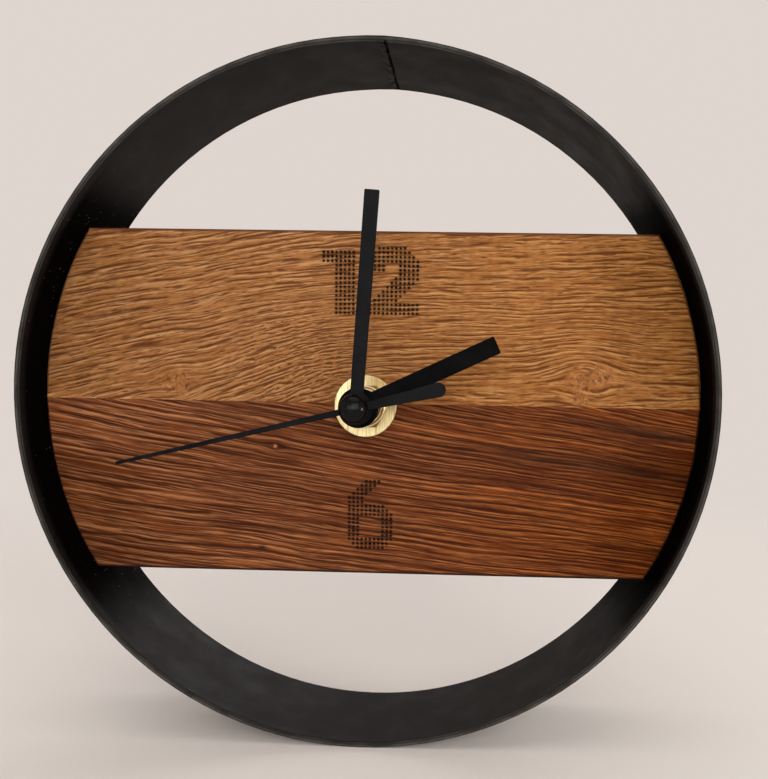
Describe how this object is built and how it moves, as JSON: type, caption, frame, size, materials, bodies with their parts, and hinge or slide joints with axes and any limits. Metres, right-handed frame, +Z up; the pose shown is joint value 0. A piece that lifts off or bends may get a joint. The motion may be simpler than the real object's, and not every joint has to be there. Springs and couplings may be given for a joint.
{
  "type": "wall clock",
  "caption": "Round wall clock: two oak boards with dotted numerals in a black steel ring, black hands, and a battery quartz movement in the back.",
  "frame": {"origin": "centre of the hanger's nail hole, on the plane of the wall", "axes": "+Y into the wall, so that the dial faces -Y; +X to the dial's right; +Z up"},
  "size_m": [0.17, 0.0445, 0.17],
  "materials": {
    "black_steel": "satin black oiled steel with a lighter worn edge",
    "light_oak": "golden brown oak, oiled to a low sheen",
    "dark_oak": "dark red-brown oak, oiled to a low sheen",
    "screw_steel": "black oxide",
    "zinc_steel": "bright zinc",
    "black_rubber": "matte",
    "brass": "turned and lightly brushed",
    "black_plastic": "moulded, fine grain",
    "white_plastic": "moulded",
    "battery_can": "plain printed wrap over a metal can",
    "contact_steel": "nickel plated",
    "green_board": "green solder mask",
    "resin": "black epoxy",
    "crystal_can": "drawn can",
    "copper_wire": "enamelled copper wire",
    "stator_steel": "soft iron sheet",
    "magnet": "dull magnet",
    "gear_plastic": "moulded acetal",
    "arbor_steel": "ground steel",
    "hand_black": "satin black paint on thin aluminium",
    "dome_black": "polished black"
  },
  "bodies": {
    "case": {"steel_ring": "black_steel", "upper_board": "light_oak", "lower_board": "dark_oak", "ring_screws": "screw_steel", "hanger_plate": "zinc_steel", "hanger_screws": "zinc_steel", "rubber_washer": "black_rubber", "brass_washer": "brass", "hex_nut": "brass", "threaded_bush": "brass", "case_front": "black_plastic", "middle_plate": "white_plastic", "case_rear": "black_plastic", "battery": "battery_can", "contact_positive": "contact_steel", "contact_negative": "contact_steel", "circuit_board": "green_board", "chip": "resin", "quartz_crystal": "crystal_can", "coil_bobbin": "white_plastic", "coil_winding": "copper_wire", "stator": "stator_steel"},
    "seconds": {"second_arbor": "arbor_steel", "second_wheel": "gear_plastic", "second_hand": "hand_black", "second_hand_dome": "dome_black"},
    "third": {"third_wheel": "gear_plastic"},
    "fifth": {"fifth_wheel": "gear_plastic"},
    "rotor": {"rotor_magnet": "magnet", "rotor_pinion": "gear_plastic"},
    "centre": {"centre_wheel": "brass"},
    "minutes": {"cannon_pinion": "arbor_steel", "minute_hand": "hand_black"},
    "setting": {"minute_wheel": "gear_plastic", "setting_knob": "black_plastic"},
    "hours": {"hour_wheel": "gear_plastic", "hour_hand": "hand_black"}
  },
  "joints": [
    {"name": "second_turn", "type": "hinge", "parent": "case", "child": "seconds", "pos_m": [-0.0009, -0.03, -0.0362], "axis": [0, 1, 0], "continuous": true},
    {"name": "third_turn", "type": "hinge", "parent": "case", "child": "third", "pos_m": [0.00779, -0.01, -0.03387], "axis": [0, 1, 0], "continuous": true},
    {"name": "centre_turn", "type": "hinge", "parent": "case", "child": "centre", "pos_m": [-0.0009, -0.0115, -0.0362], "axis": [0, 1, 0], "continuous": true},
    {"name": "fifth_turn", "type": "hinge", "parent": "case", "child": "fifth", "pos_m": [-0.00215, -0.006, -0.02911], "axis": [0, 1, 0], "continuous": true},
    {"name": "rotor_turn", "type": "hinge", "parent": "case", "child": "rotor", "pos_m": [-0.00322, -0.006, -0.02304], "axis": [0, 1, 0], "continuous": true},
    {"name": "minute_turn", "type": "hinge", "parent": "case", "child": "minutes", "pos_m": [-0.0009, -0.03, -0.0362], "axis": [0, 1, 0], "continuous": true},
    {"name": "setting_turn", "type": "hinge", "parent": "case", "child": "setting", "pos_m": [-0.00827, -0.01, -0.03104], "axis": [0, 1, 0], "continuous": true},
    {"name": "hour_turn", "type": "hinge", "parent": "case", "child": "hours", "pos_m": [-0.0009, -0.02, -0.0362], "axis": [0, 1, 0], "continuous": true}
  ],
  "couplings": [
    {"joint": "third_turn", "follows": "second_turn", "ratio": -0.125},
    {"joint": "centre_turn", "follows": "second_turn", "ratio": 0.016667},
    {"joint": "fifth_turn", "follows": "second_turn", "ratio": -5},
    {"joint": "rotor_turn", "follows": "second_turn", "ratio": 30},
    {"joint": "setting_turn", "follows": "minute_turn", "ratio": -0.33333},
    {"joint": "hour_turn", "follows": "minute_turn", "ratio": 0.083333}
  ]
}
